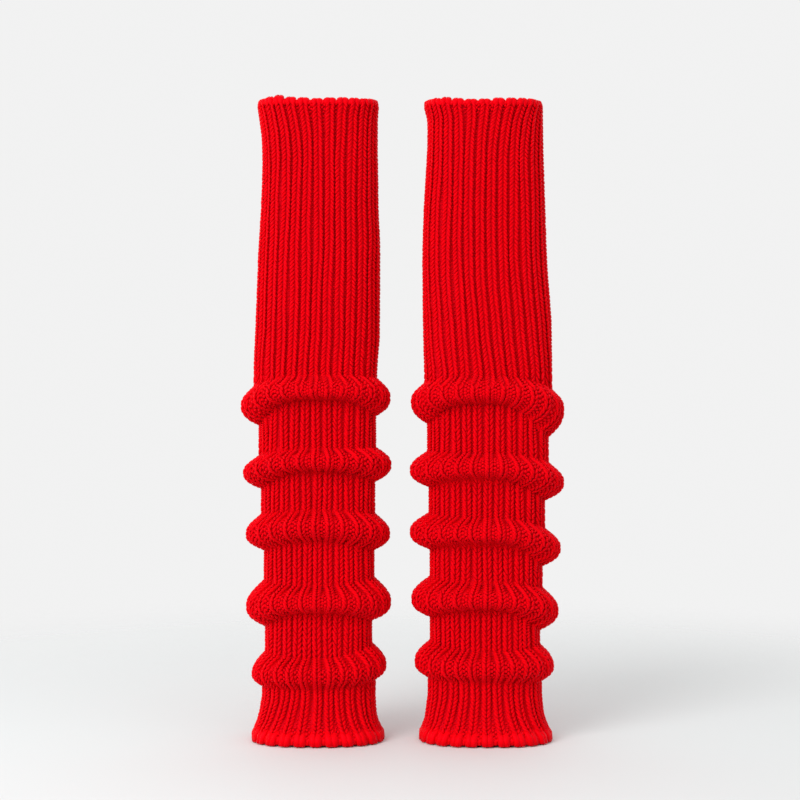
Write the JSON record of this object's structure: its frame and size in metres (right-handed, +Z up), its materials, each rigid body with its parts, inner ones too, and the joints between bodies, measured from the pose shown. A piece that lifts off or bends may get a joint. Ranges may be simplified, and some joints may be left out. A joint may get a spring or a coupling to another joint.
{
  "type": "pair of leg warmers",
  "caption": "Pair of open knitted leg warmers in chunky rib, standing upright, smooth above and slouched into soft rolls below, with flared hems.",
  "frame": {"origin": "on the surface that the hems stand on, under the middle of the pair's box", "axes": "+Z up along the tubes, +X from the left leg warmer to the right one as seen from the front, -Y to the front; the tops lean towards +Y"},
  "size_m": [0.2252, 0.0838, 0.447],
  "materials": {
    "red_wool": "soft chunky rib knit in bright red wool, matt with a faint nap"
  },
  "bodies": {
    "root": {"leg_warmer_left": "red_wool", "leg_warmer_right": "red_wool"}
  },
  "joints": []
}
